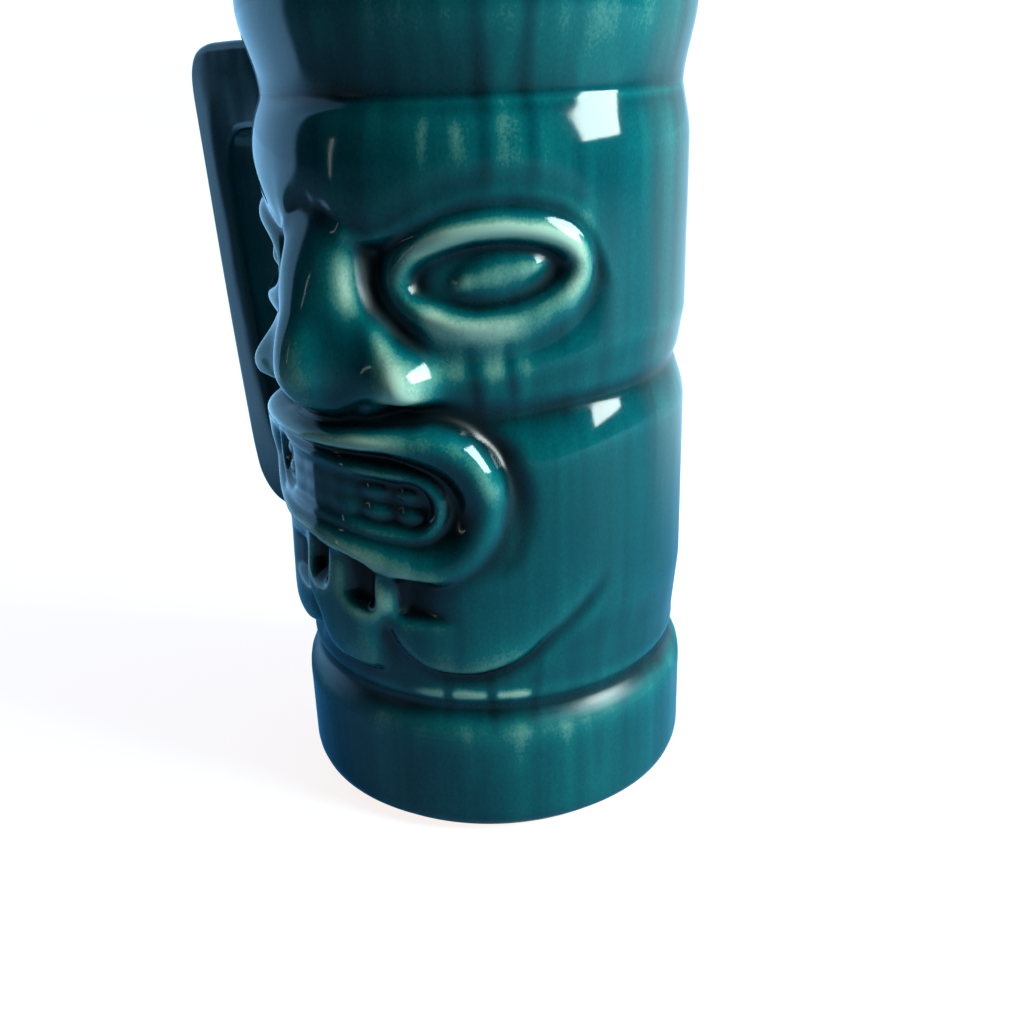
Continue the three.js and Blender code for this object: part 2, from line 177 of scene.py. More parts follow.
def eyeball(s, z):
    """The soft almond swelling inside the eye's rim, from 0 to 1."""
    across = (s - EYEBALL_ARC) / EYEBALL_HALF_WIDTH
    up = z - EYEBALL_HEIGHT - EYEBALL_TILT * (s - EYEBALL_ARC)
    width = np.maximum(4.0 * (1 - across**2), 0.8)
    return bump(up / width, 0.75) * (1 - step(0.6, 1.05, np.abs(across)))


def eye_area(r, s, z):
    """The brow roll, the socket under it, the raised oval rim and the almond eyeball."""
    rim = eye_rim_distance(s, z)
    brow_edge = line_through(BROW_EDGE, s)
    corner = bump(s - 12.5, 4.6) * bump(z - 110.5, 7.0)
    hollow = np.minimum((1 - step(1.2, 6.4, rim)) + 1.4 * corner, 1.5)
    r = r - 2.7 * hollow * step(-0.4, 3.0, brow_edge - z) * (1 - step(46, 55, s))
    up = z - brow_edge
    brow = BROW_RADIUS - edge_fall(up, 6.8, 4.5) - edge_fall(HATLINE - z, 11.0, 3.6)
    brow = brow + 1.5 * bump(s, 15) - 2.2 * step(34, 60, s)
    r = blend_up(r, np.where((up > 0) & (z < HATLINE), brow, NO_RELIEF), 1.0)
    low_side = 0.9 * (1 - step(15, 25, s))
    floor = 38.1 + 0.5 * step(18, 40, s) - low_side
    r = np.where(rim < 0, np.minimum(r, floor + 2.4 * step(-6.8, -0.6, rim)), r)
    r = blend_up(r, EYE_RIM_RADIUS - low_side - 1.6 * (rim / 2.5) ** 2, 1.5)
    return r + 1.5 * eyeball(s, z)


def nose_height(s, z):
    """How far the nose stands out: the bridge, the flanks that widen to the wings, the nostrils."""
    crest = line_through(NOSE_CREST, z)
    bridge = crest * np.exp(-((s / 8.2) ** 2.2))
    side = line_through(NOSE_SIDE, z)
    flank = line_through(NOSE_FLANK, z) * (1 - step(0.64, 1.0, s / side))
    wing = 2.2 * bump(s - 16.5, 4.6) * bump(z - 91.5, 4.8)
    bottom = 82.0 + 4.0 * step(6, 15, s)
    under = step(0, 3.6, z - bottom)
    arch = np.hypot((s - 11.3) * 0.75, z - 84.6) - 3.6
    nostril = 1.0 * bump(arch, 0.8) * step(84.0, 86, z)
    return (blend_up(bridge, flank, 3.0) + wing) * under - nostril


def mouth_area(r, u, z):
    """The lip roll round an open mouth and the plate of teeth in it, with the lip's distance."""
    s = np.abs(u)
    lift = np.where(u > -5, 5.2 * bump(u + 5, 14), 5.2 + 1.6 * step(-5, -20, u))
    v = z - MOUTH_HEIGHT
    mv = np.where(v < 0, v * LIP_HALF_HEIGHT / (12.8 - lift), v)
    lip = slot_distance(s, mv, LIP_HALF_LENGTH, LIP_HALF_HEIGHT)
    full = 3.2 * bump(s, 17)
    furrow = 1.7 * bump(lip - 5.2, 2.3) * step(54, 60, z) * (1 - step(79, 84, z))
    thin = step(0, 5, v) * (1 - step(11, 22, s))
    lip_width = np.where(lip > 0, 3.7 - 0.9 * thin, 5.4 - 3.3 * thin)
    lip_r = LIP_RADIUS + full + 0.7 * step(-2, 4, v) - 3.2 * np.abs(lip / lip_width) ** 2
    inside = 39.2 + 0.75 * full + 1.4 * step(0, -8, mv)
    pv = v - 0.45 * lift + 0.6
    plate = slot_distance(s, pv, PLATE_HALF_LENGTH, PLATE_HALF_HEIGHT)
    plate_top = PLATE_RADIUS + 0.8 * full
    deep = 0.4 + 1.6 * np.where(u > 0, step(3, 10, s), step(11, 14, s))
    recess = plate_top - 0.4 - deep * step(-0.4, -2.2, plate)
    rim = plate_top - 0.4 - 0.5 * plate**2
    plate_r = np.where(plate < 0, recess, rim) + 0.4 * bump(plate + 0.1, 0.9)
    mouth = np.where(lip < -2.8, blend_up(inside, plate_r, 0.8), inside)
    for tooth_u in TOOTH_ARCS:
        for tooth_v in TOOTH_ROWS:
            q = dome(s - tooth_u, pv - tooth_v, TOOTH_HALF_WIDTH, TOOTH_HALF_HEIGHT)
            tooth = np.where(q > 0, plate_top - 0.5 - deep * (1.1 - 0.9 * q), NO_RELIEF)
            mouth = blend_up(mouth, tooth, 0.4)
    ground = np.where(lip < 0, mouth, r - furrow)
    return blend_up(ground, np.where(np.abs(lip) < 8, lip_r, NO_RELIEF), 1.2), lip


def pockets(u, z):
    """The holes between the bars under the lip, from 0 outside to 1 at the bottom of a hole."""
    s = np.abs(u)
    front = box_distance(s - 5.0, z + 0.3 * u - 56.0, 3.2, 6.2, 2.6)
    side = box_distance(s - 18.4, z - 51.2, 7.2, 4.8, 2.4)
    return step(0.4, -1.8, front) + 0.8 * step(0.4, -1.8, side) * (1 - step(13.0, 24.0, s))


def jaw_area(r, u, z, lip):
    """The jowls, the chin between them and the pockets over it."""
    s = np.abs(u)
    low = line_through(JOWL_EDGE, s)
    jowl = JOWL_RADIUS - edge_fall(z - low, 5.5, 2.8) - edge_fall(s - JOWL_INNER_EDGE, 5.0, 3.2)
    jowl = jowl - 2.4 * step(24, 50, s) - 0.7 * step(42, 56, z)
    jowl = np.where((z > low) & (s > JOWL_INNER_EDGE), jowl, NO_RELIEF)
    crescent = 0.9 * bump(z - low + 0.6, 2.2) * step(12, 20, s)
    crescent = crescent * (1 - step(46, 53, s)) * (1 - step(58, 62, z))
    chin_width = 7.4 + 3.6 * step(43, 50, z)
    chin = CHIN_RADIUS - edge_fall(z - CHIN_BOTTOM, 14, 6.2) - 2.2 * (s / chin_width) ** 3.0
    chin = chin - step(50, 60, z)
    chin = np.where((z > CHIN_BOTTOM) & (s < CHIN_HALF_WIDTH), chin, NO_RELIEF)
    jaw = blend_up(blend_up(r - crescent, jowl, 1.2), chin, 1.4)
    below = step(1.6, 4.2, lip) * (1 - step(62, 76, z))
    return r * (1 - below) + below * jaw - POCKET_DEPTH * pockets(u, z) * step(1.0, 2.6, lip)


def radius(u, z):
    """The mug's outer radius before it is glazed."""
    s = np.abs(u)
    face = 1 - step(46, 78, s)
    r = bands(s, z, face)
    r = eye_area(r, s, z)
    r = r + nose_height(s, z)
    r, lip = mouth_area(r, u, z)
    return jaw_area(r, u, z, lip)


def glazed_radius(u, z, soft=0.55):
    """The relief as the glaze leaves it: sharp creases filled and sharp edges rounded."""
    weights = np.exp(-0.5 * np.arange(-2, 3) ** 2)
    weights /= weights.sum()
    total = 0
    for i, across in enumerate(weights):
        for k, along in enumerate(weights):
            total = total + across * along * radius(u + (i - 2) * soft, z + (k - 2) * soft)
    return total - GLAZE_SETBACK


# ---------------------------------------------------------------- glaze that ran in the kiln
# Each run is (arc, top, bottom, width, strength). A strength above 0 is a thick dark run, and
# one below 0 a thin pale one, except the pale run on the nose wing, which is painted light.
RUNS_AND_PAINTED_LIGHT = [
    # the hat and the brow
    (30.2, 168, 121, 1.6, 1.4), (37.8, 168, 122, 1.3, 1.1), (24.4, 166, 138, 1.2, 0.35),
    (34.0, 160, 128, 1.3, -0.35), (19.0, 158, 124, 1.5, -0.3), (45.5, 160, 130, 2.0, 0.25),
    (52.0, 168, 134, 10, -0.7), (33.0, 137, 122, 7.0, -0.9), (36.0, 152, 130, 20, -0.8),
    (21.5, 137, 124, 1.0, -0.9), (26.6, 136, 125, 1.2, -1.1), (40.0, 134, 122, 2.2, -0.5),
    # round the eye
    (27.4, 100, 84, 1.0, 1.6), (30.8, 98, 85, 1.2, -0.8), (33.9, 100, 86, 0.9, 1.6),
    (37.0, 97, 87, 1.1, -0.5), (24.4, 98, 86, 1.3, -0.6), (30.0, 104, 90, 9.0, -2.7),
    (45.8, 122, 96, 1.8, -1.0),
    # the nose, the mouth and the chin
    (27.0, 84, 56, 4.0, 0.8), (2.0, 106, 84, 4.6, 1.3), (17.0, 97, 80, 4.0, 0.9),
    (9.0, 88, 68, 9.0, 0.9), (8.2, 118, 99, 1.9, -1.3), (12.5, 105, 90, 1.5, -0.8),
    # The first run on this line, pale on the nose wing, is painted light: it lightens a side left in
    # shade.
    (21.5, 108, 88, 3.4, -1.5), (21.5, 88, 54, 5.4, 1.2),
    # over the ankle and the foot band
    (19.7, 36, 24, 1.0, 0.9), (28.4, 38, 20, 1.2, 0.9), (37.4, 40, 22, 1.0, 0.8),
    (24.4, 26, 9, 1.3, -0.45), (33.5, 27, 12, 1.8, -0.5), (43.0, 26, 15, 1.6, -0.35),
    (14.0, 26, 14, 1.4, -0.35), (49.0, 27, 8, 1.2, 0.3),
]

# The glaze is thin along the ledge over the foot band, except where drips cross it.
LEDGE_HEIGHT = 30.4
LEDGE_DRIPS = (19.6, 28.4, 37.2)
POCKET_TOP = 63


def glaze_runs_and_painted_light(u, z):
    """Where the glaze runs thick, above 0, and where it runs thin, below 0, with painted light on
    the nose wing and painted shade in the pockets under the lip.
    """
    total = np.zeros_like(z)
    for arc, top, bottom, width, strength in RUNS_AND_PAINTED_LIGHT:
        wander = 0.5 * np.sin(z * 0.21 + arc)
        along = step(bottom - 1, bottom + 6, z) * (1 - step(top - 5, top, z))
        total += strength * bump(u - arc - wander, width) * along
    ledge = bump(z - LEDGE_HEIGHT, 1.0) * step(11, 15, u) * (1 - step(34, 39, u))
    drips = sum(bump(u - arc, 0.9) for arc in LEDGE_DRIPS)
    # The pockets under the lip are darkened partly as glaze pooled in them and partly as painted
    # shade in the holes.
    total += 1.5 * pockets(u, z) * (z < POCKET_TOP) - 3.2 * ledge * np.maximum(1 - 1.5 * drips, 0)
    rim, above_eye = eye_rim_distance(np.abs(u), z), z - EYE_HEIGHT
    total -= bump(rim + 0.3, 2.0) * (2.2 * step(1, 6, above_eye) - 1.0 * step(-1, -6, above_eye))
    return total - 1.0 * step(0, -4, rim)


GRID_STEP = 0.5
GRID_COLUMNS = 502


def blurred(field, sigma):
    """A Gaussian blur over the unrolled mug: it wraps round the arc and stops at the ends."""
    n = int(3 * sigma / GRID_STEP) + 1
    k = np.exp(-0.5 * (np.arange(-n, n + 1) * GRID_STEP / sigma) ** 2)
    k /= k.sum()
    wide = np.pad(field, ((n, n), (0, 0)), mode="edge")
    wide = np.pad(wide, ((0, 0), (n, n)), mode="wrap")
    wide = sum(w * wide[i : i + field.shape[0]] for i, w in enumerate(k))
    return sum(w * wide[:, i : i + field.shape[1]] for i, w in enumerate(k))


def surface_maps():
    """How far each point stands proud of its surroundings, close by and over a wider patch,
    and the whole relief softened, for the inside of the wall."""
    arcs = np.arange(-HALF_TURN, HALF_TURN, 2 * HALF_TURN / GRID_COLUMNS)
    levels = np.arange(0, HEIGHT + GRID_STEP, GRID_STEP)
    field = radius(*np.meshgrid(arcs, levels))
    near = blurred(field, 0.5) - blurred(field, 1.6)
    wide = blurred(field, 0.8) - blurred(field, 5.0)
    soft = blurred(field, 3.2)
    return {"near": near, "wide": wide, "soft": soft}


def sample(field, u, z):
    """Reads a map at any arc and height, straight between its grid points."""
    columns = field.shape[1]
    x = (u + HALF_TURN) / (2 * HALF_TURN) * columns
    y = np.clip(z / GRID_STEP, 0, field.shape[0] - 1.001)
    i, j = np.floor(x).astype(int), np.floor(y).astype(int)
    fx, fy = x - i, y - j
    i0, i1 = i % columns, (i + 1) % columns
    low = field[j, i0] * (1 - fx) + field[j, i1] * fx
    high = field[j + 1, i0] * (1 - fx) + field[j + 1, i1] * fx
    return low * (1 - fy) + high * fy


MAPS = surface_maps()


# ---------------------------------------------------------------- meshes
def crowded(count, density):
    """Positions from 0 to 1 that lie closer together where density is higher."""
    t = np.linspace(0, 1, 4001)
    total = np.cumsum(density(t))
    total = (total - total[0]) / (total[-1] - total[0])
    return np.interp(np.linspace(0, 1, count), total, t)


def ring_mesh(name, rings, attributes=None):
    """A closed mesh from rings of equal length, with a fan over the first and the last ring."""
    count, width = rings.shape[:2]
    points = np.concatenate([rings.reshape(-1, 3), rings[[0, -1]].mean(1)])
    index = np.arange(count * width).reshape(count, width)
    after = np.roll(index, -1, 1)
    quads = np.stack([index[:-1], after[:-1], after[1:], index[1:]], -1).reshape(-1, 4)
    first, last = count * width, count * width + 1
    fan = [np.stack([after[0], index[0], np.full(width, first)], -1)]
    fan.append(np.stack([index[-1], after[-1], np.full(width, last)], -1))
    triangles = np.concatenate(fan)
    mesh = bpy.data.meshes.new(name)
    mesh.vertices.add(len(points))
    mesh.vertices.foreach_set("co", (points * MM).ravel())
    corners = np.concatenate([quads.ravel(), triangles.ravel()]).astype(np.int32)
    quad_starts = np.arange(0, quads.size, 4)
    starts = np.concatenate([quad_starts, quads.size + np.arange(0, triangles.size, 3)])
    mesh.loops.add(len(corners))
    mesh.loops.foreach_set("vertex_index", corners)
    mesh.polygons.add(len(starts))
    mesh.polygons.foreach_set("loop_start", starts.astype(np.int32))
    mesh.update()
    mesh.polygons.foreach_set("use_smooth", np.ones(len(starts), bool))
    for key, values in (attributes or {}).items():
        full = np.concatenate([values.ravel(), values[[0, -1]].mean(1)])
        layer = mesh.attributes.new(key, "FLOAT", "POINT")
        layer.data.foreach_set("value", full.astype(np.float32))
    made = bpy.data.objects.new(name, mesh)
    bpy.context.scene.collection.objects.link(made)
    return made


COLUMNS = 392
FOOT_ROWS, BODY_ROWS, HAT_ROWS, LIP_ROWS, INSIDE_ROWS = 20, 196, 12, 8, 14
FACE_BOTTOM, FACE_TOP = 24, 140
RIM_ROUND = 2.0
FOOT_ROUND_HEIGHT, FOOT_ROUND_DEPTH = 3.8, 2.1
FLOOR_ROUND_HEIGHT, FLOOR_ROUND_DEPTH = 12, 10
WIDEST_INSIDE = 37.2


def inner_radius(u, z):
    """The inside follows the outside softly, as slip-cast walls do, and rounds into the floor."""
    wall = sample(MAPS["soft"], u, z) - WALL
    corner = edge_fall(z - FLOOR_TOP, FLOOR_ROUND_HEIGHT, FLOOR_ROUND_DEPTH)
    return np.minimum(wall, WIDEST_INSIDE) - corner


def face_density(t):
    """Columns lie about three times closer together on the face than on the back."""
    return 1 + 2.2 * step(0.24, 0.32, t) * (1 - step(0.70, 0.78, t))


def body_piece():
    """The glazed shell: up the outside, over the rim, and down the inside to the floor."""
    place = crowded(COLUMNS + 1, face_density)
    u = (place[:-1] * 2 - 1) * HALF_TURN
    top = HEIGHT - RIM_ROUND
    levels = np.concatenate([
        np.linspace(UNDERSIDE, FACE_BOTTOM, FOOT_ROWS, endpoint=False),
        np.linspace(FACE_BOTTOM, FACE_TOP, BODY_ROWS, endpoint=False),
        np.linspace(FACE_TOP, top, HAT_ROWS, endpoint=False),
    ])
    arc, z = np.meshgrid(u, levels)
    foot_round = edge_fall(z - UNDERSIDE, FOOT_ROUND_HEIGHT, FOOT_ROUND_DEPTH)
    r = glazed_radius(arc, z) - foot_round
    high = np.full(COLUMNS, top)
    outer, inner = glazed_radius(u, high), inner_radius(u, high)
    turns = np.linspace(0, math.pi, LIP_ROWS)[:, None]
    across = (1 - np.cos(turns)) / 2
    lip_r = outer * (1 - across) + inner * across
    lip_z = top + RIM_ROUND * np.sin(turns) + np.zeros_like(lip_r)
    fall = np.linspace(0, 1, INSIDE_ROWS + 1)[1:, None]
    inside_z = top + (FLOOR_TOP - top) * (1 - (1 - fall) ** 1.35)
    inside_z = inside_z + np.zeros((INSIDE_ROWS, COLUMNS))
    inside_r = inner_radius(np.broadcast_to(u, inside_z.shape), inside_z)
    r = np.concatenate([r, lip_r, inside_r])
    z = np.concatenate([z, lip_z, inside_z])
    arc = np.broadcast_to(u, r.shape)
    points = np.stack([r * np.sin(arc / ARC_RADIUS), -r * np.cos(arc / ARC_RADIUS), z], -1)
    row = np.arange(len(r))[:, None] - len(levels)
    outside = row < 2
    attributes = {
        "proud": sample(MAPS["near"], arc, z) * outside,
        "wide": sample(MAPS["wide"], arc, z) * outside,
        "edge": np.broadcast_to(bump(row - LIP_ROWS / 2, LIP_ROWS / 3), r.shape),
        # runs holds the glaze runs together with painted light on the nose wing and painted shade in
        # the pockets.
        "runs": glaze_runs_and_painted_light(arc, z) * outside,
    }
    return ring_mesh("mug_body_glazed", points, attributes)


HANDLE_HALF = 9.5
HANDLE_ROUND = 2.0
# Stations along the handle: where its outer and its inner face are, as (x, z) pairs.
HANDLE_STATIONS = [
    ((-43, 145.6), (-43, 128.0)), ((-50, 145.6), (-49, 128.0)),
    ((-57, 145.6), (-55, 128.0)), ((-63, 145.4), (-59.0, 127.6)),
    ((-68, 145.0), (-61.6, 126.6)), ((-71.6, 143.6), (-63.0, 125.0)),
    ((-73.4, 140.8), (-63.6, 122.8)), ((-73.9, 137.0), (-63.8, 120.0)),
    ((-73.6, 131.0), (-63.6, 116.5)), ((-72.8, 119.0), (-63.0, 108.0)),
    ((-71.6, 100.0), (-61.8, 94.0)), ((-70.0, 80.0), (-60.2, 78.0)),
    ((-68.0, 61.0), (-58.2, 65.5)), ((-66.8, 53.5), (-57.2, 61.6)),
    ((-65.6, 49.2), (-56.0, 59.4)), ((-63.2, 45.8), (-54.4, 58.2)),
    ((-60.0, 43.6), (-52.2, 57.7)), ((-55.5, 42.6), (-49.5, 57.5)),
    ((-49.0, 42.5), (-46.5, 57.5)), ((-43, 42.5), (-43, 57.5)),
]
HANDLE_STEPS = 150
CORNER_STEPS = 7


def smooth_path(points, count):
    """Evenly timed points on a Catmull-Rom curve through the given ones."""
    p = np.array(points, float)
    p = np.concatenate([[2 * p[0] - p[1]], p, [2 * p[-1] - p[-2]]])
    t = np.linspace(0, len(points) - 1, count)
    i = np.minimum(t.astype(int), len(points) - 2)
    f = (t - i)[:, None]
    a, b, c, d = p[i], p[i + 1], p[i + 2], p[i + 3]
    square = 2 * a - 5 * b + 4 * c - d
    cube = 3 * b - a - 3 * c + d
    return 0.5 * (2 * b + (c - a) * f + square * f**2 + cube * f**3)


def rounded_section(half_wide, half_thick, corner):
    """A rectangle with round corners, as (wide, thick) points going once round."""
    points = []
    for quarter, (sign_w, sign_t) in enumerate([(1, 1), (-1, 1), (-1, -1), (1, -1)]):
        for k in range(CORNER_STEPS + 1):
            turn = math.pi / 2 * (quarter + k / CORNER_STEPS)
            points.append((sign_w * (half_wide - corner) + corner * math.cos(turn),
                           sign_t * (half_thick - corner) + corner * math.sin(turn)))
    return np.array(points)


def handle_piece():
    """The squared strap: a rounded section carried along between its two faces."""
    outer = smooth_path([a for a, _ in HANDLE_STATIONS], HANDLE_STEPS)
    inner = smooth_path([b for _, b in HANDLE_STATIONS], HANDLE_STEPS)
    rings = []
    for out, inn in zip(outer, inner):
        middle, across = (out + inn) / 2, out - inn
        thick = np.linalg.norm(across)
        section = rounded_section(HANDLE_HALF, thick / 2, HANDLE_ROUND)
        x = middle[0] + section[:, 1] * across[0] / thick
        z = middle[1] + section[:, 1] * across[1] / thick
        rings.append(np.stack([x, section[:, 0], z], -1))
    return ring_mesh("handle_glazed", np.array(rings))


UPPER_LUTE_HEIGHT, UPPER_LUTE_HALF = 136.8, 8.4
LOWER_LUTE_HEIGHT, LOWER_LUTE_HALF = 50.0, 7.5
LUTE_RINGS = 10
LUTE_FLARE = 3.6
LUTE_SUNK = 0.25
LUTE_BACK_DEPTH = 1.6


def lute_piece(name, height, half_tall):
    """The fillet of slip and glaze where an end of the handle meets the body."""
    rings = []
    for k in range(LUTE_RINGS + 3):
        turn = min(k / LUTE_RINGS, 1) * math.pi / 2
        offset = LUTE_FLARE * (1 - math.cos(turn)) + 0.05
        rise = LUTE_FLARE * (1 - math.sin(turn)) - LUTE_SUNK
        if k > LUTE_RINGS:
            # The last two rings close the fillet inside the wall.
            offset = LUTE_FLARE * (0.4 if k == LUTE_RINGS + 1 else -0.6)
            rise = -LUTE_BACK_DEPTH
        corner = HANDLE_ROUND + max(offset, 0)
        section = rounded_section(HANDLE_HALF + offset, half_tall + offset, corner)
        y, z = section[:, 0], height + section[:, 1]
        r = radius(y - ARC_RADIUS * math.pi / 2, z)
        rings.append(np.stack([-np.sqrt(r**2 - y**2) - rise, y, z], -1))
    return ring_mesh(name, np.array(rings))


# Stations across the bare foot, as (radius, z): out along its underside and back over its top.
FOOT_PROFILE = [
    (0.5, 0.55), (12, 0.5), (26, 0.45), (29.5, 0.3), (31.5, 0.05), (33, 0), (36.2, 0),
    (36.9, 0.12), (37.25, 0.4), (37.4, 0.7), (37.35, 0.95), (36.5, 1.0), (20, 1.0), (0.5, 1.0),
]
FOOT_COLUMNS = 160


def foot_piece():
    """The bare disc under the mug, which stands on a low ring near its edge."""
    turn = np.linspace(0, 2 * math.pi, FOOT_COLUMNS, endpoint=False)
    rings = []
    for r, z in FOOT_PROFILE:
        rings.append(np.stack([r * np.sin(turn), -r * np.cos(turn), np.full_like(turn, z)], -1))
    return ring_mesh("bare_foot_clay", np.array(rings))


# ---------------------------------------------------------------- materials
class Nodes:
    """A short way to add and link the shader nodes of a material or a world."""

    def __init__(self, owner):
        owner.use_nodes = True
        self.tree = owner.node_tree
        self.shader = self.tree.nodes.get("Principled BSDF")

    def add(self, kind, settings=(), **inputs):
        """Adds a node. An input is given by its name, or by its number as i0, i1 and so on."""
        node = self.tree.nodes.new("ShaderNode" + kind)
        for key, value in dict(settings).items():
            setattr(node, key, value)
        for key, value in inputs.items():
            numbered = key[0] == "i" and key[1:].isdigit()
            self.put(node.inputs[int(key[1:]) if numbered else key], value)
        return node

    def put(self, socket, value):
        if isinstance(value, bpy.types.NodeSocket):
            self.tree.links.new(value, socket)
        else:
            socket.default_value = value

    def math(self, operation, a, b=0.0):
        return self.add("Math", {"operation": operation}, i0=a, i1=b).outputs[0]

    def mix(self, factor, a, b, blend="MIX"):
        settings = {"data_type": "RGBA", "blend_type": blend}
        return self.add("Mix", settings, i0=factor, i6=a, i7=b).outputs[2]

    def map_range(self, value, start, end, low, high, curve="LINEAR"):
        settings = {"interpolation_type": curve}
        return self.add("MapRange", settings, i0=value, i1=start, i2=end, i3=low, i4=high).outputs[0]

    def ramp(self, value, stops):
        node = self.add("ValToRGB", Fac=value)
        elements = node.color_ramp.elements
        while len(elements) < len(stops):
            elements.new(0.5)
        for element, (place, colour) in zip(elements, stops):
            element.position = place
            element.color = (*colour, 1)
        return node.outputs["Color"]

    def object_place(self):
        return self.add("TexCoord").outputs["Object"]

    def attribute(self, name):
        return self.add("Attribute", {"attribute_name": name}).outputs["Fac"]


def scaled_noise(n, scale, stretch=(1, 1, 1), detail=3.0, roughness=0.5):
    """Noise in object space, stretched by axis, from 0 to 1."""
    mapped = n.add("Mapping", Vector=n.object_place(), Scale=stretch).outputs[0]
    noise = n.add("TexNoise", Vector=mapped, Scale=scale, Detail=detail, Roughness=roughness)
    return noise.outputs["Fac"]


# The glaze's colours from where it pools to where it thins, with their places on the ramp.
GLAZE_COLOURS = [
    (0.0, (0.0010, 0.012, 0.017)),
    (0.2, (0.0010, 0.040, 0.050)),
    (0.45, (0.0006, 0.112, 0.134)),
    (0.62, (0.004, 0.190, 0.198)),
    (0.82, (0.18, 0.43, 0.36)),
    (1.0, (0.50, 0.72, 0.60)),
]
EVEN_GLAZE = 0.46
HANDLE_GLAZE = -0.05
GLAZE_IOR = 1.52
LOWEST_ROUGHNESS, ROUGHNESS_SPREAD = 0.05, 0.08
DULL_SHOULDER = 0.0235  # its height in metres


def thinness_on_body(n, wide):
    """How thin the relief and the runs leave the glaze, about 0 on a plain stretch. The runs also
    carry painted light on the nose wing and painted shade in the pockets.
    """
    proud, edge, runs = (n.attribute(key) for key in ("proud", "edge", "runs"))
    thin = n.math("ADD", n.math("MULTIPLY", proud, 0.55), n.math("MULTIPLY", wide, 0.085))
    thin = n.math("ADD", thin, n.math("MULTIPLY", edge, 0.3))
    return n.math("SUBTRACT", thin, n.math("MULTIPLY", runs, 0.16))


def dull_places(n, wide, roughness):
    """Deep hollows and the foot band's shoulder mirror less than the rest."""
    hollow = n.map_range(wide, -0.5, -1.5, 0.0, 0.35)
    height = n.add("SeparateXYZ", Vector=n.object_place()).outputs[2]
    off_shoulder = n.math("ABSOLUTE", n.math("SUBTRACT", height, DULL_SHOULDER))
    shoulder = n.map_range(off_shoulder, 0.0012, 0.0035, 0.3, 0.0)
    return n.math("ADD", n.math("ADD", roughness, hollow), shoulder)


def glaze_material(name, on_body):
    """A running teal glaze: thin and pale on edges, deep where it pools, streaked downward. On the
    body it also carries painted light on the nose wing and painted shade in the pockets.
    """
    material = bpy.data.materials.new(name)
    n = Nodes(material)
    wide = n.attribute("wide") if on_body else None
    thin = thinness_on_body(n, wide) if on_body else HANDLE_GLAZE
    streaks = scaled_noise(n, 190, (1, 1, 0.05), 2.0)
    clouds = scaled_noise(n, 34, (1, 1, 0.6), 3.0)
    mottle = scaled_noise(n, 2200, (1, 1, 0.7), 2.0, 0.6)
    for noise, strength in ((streaks, 0.42), (clouds, 0.32), (mottle, 0.20)):
        thin = n.math("ADD", thin, n.math("MULTIPLY", n.math("SUBTRACT", noise, 0.5), strength))
    colour = n.ramp(n.math("ADD", thin, EVEN_GLAZE), GLAZE_COLOURS)
    n.put(n.shader.inputs["Base Color"], colour)
    ripple = scaled_noise(n, 120, (1, 1, 0.7), 1.0)
    grain = scaled_noise(n, 2600, (1, 1, 1), 2.0)
    waves = n.add("Bump", Strength=0.10, Distance=0.001, Height=ripple).outputs[0]
    pores = n.add("Bump", Strength=0.015, Distance=0.0002, Height=grain, Normal=waves).outputs[0]
    n.put(n.shader.inputs["Normal"], pores)
    roughness = n.math("ADD", n.math("MULTIPLY", mottle, ROUGHNESS_SPREAD), LOWEST_ROUGHNESS)
    if on_body:
        roughness = dull_places(n, wide, roughness)
    n.put(n.shader.inputs["Roughness"], roughness)
    n.shader.inputs["IOR"].default_value = GLAZE_IOR
    return material


SAND_COLOURS = [(0.25, (0.46, 0.38, 0.28)), (0.55, (0.66, 0.58, 0.46)), (0.8, (0.78, 0.72, 0.60))]
WARM_PATCHES = [(0.3, (0.86, 0.80, 0.72)), (0.7, (1.0, 1.0, 0.98))]
IRON_SPECKS = [(0.26, (0.25, 0.16, 0.10)), (0.31, (1, 1, 1))]


def clay_material():
    """Bare fired clay: matt, warm pale grey, with sand grains and darker iron specks."""
    material = bpy.data.materials.new("bare_fired_clay")
    n = Nodes(material)
    sand = scaled_noise(n, 1400, detail=4.0, roughness=0.7)
    patch = scaled_noise(n, 45, detail=3.0)
    specks = scaled_noise(n, 900, detail=1.0)
    colour = n.ramp(sand, SAND_COLOURS)
    colour = n.mix(1.0, colour, n.ramp(patch, WARM_PATCHES), "MULTIPLY")
    colour = n.mix(0.8, colour, n.ramp(specks, IRON_SPECKS), "MULTIPLY")
    n.put(n.shader.inputs["Base Color"], colour)
    n.put(n.shader.inputs["Roughness"], n.math("ADD", n.math("MULTIPLY", sand, 0.2), 0.72))
    grains = n.add("Bump", Strength=0.5, Distance=0.0004, Height=sand).outputs[0]
    n.put(n.shader.inputs["Normal"], grains)
    return material


# ---------------------------------------------------------------- the pieces
body = body_piece()
handle = handle_piece()
upper_lute = lute_piece("upper_handle_fillet", UPPER_LUTE_HEIGHT, UPPER_LUTE_HALF)
lower_lute = lute_piece("lower_handle_fillet", LOWER_LUTE_HEIGHT, LOWER_LUTE_HALF)
foot = foot_piece()

body.data.materials.append(glaze_material("running_teal_glaze", on_body=True))
handle_glaze = glaze_material("handle_teal_glaze", on_body=False)
for piece in (handle, upper_lute, lower_lute):
    piece.data.materials.append(handle_glaze)
foot.data.materials.append(clay_material())

for piece, node, finish in (
    (body, "mug_body", "teal_glaze"),
    (handle, "handle", "teal_glaze"),
    (upper_lute, "upper_handle_lute", "teal_glaze"),
    (lower_lute, "lower_handle_lute", "teal_glaze"),
    (foot, "bare_foot", "bare_clay"),
):
    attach(piece, "root")
    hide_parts(node)


# ---------------------------------------------------------------- floor, light and camera
# Bearings are in degrees round the mug from straight in front of the face, positive towards
# the face's own left.
LIGHTS_AIM = Vector((0, 0, 0.09))


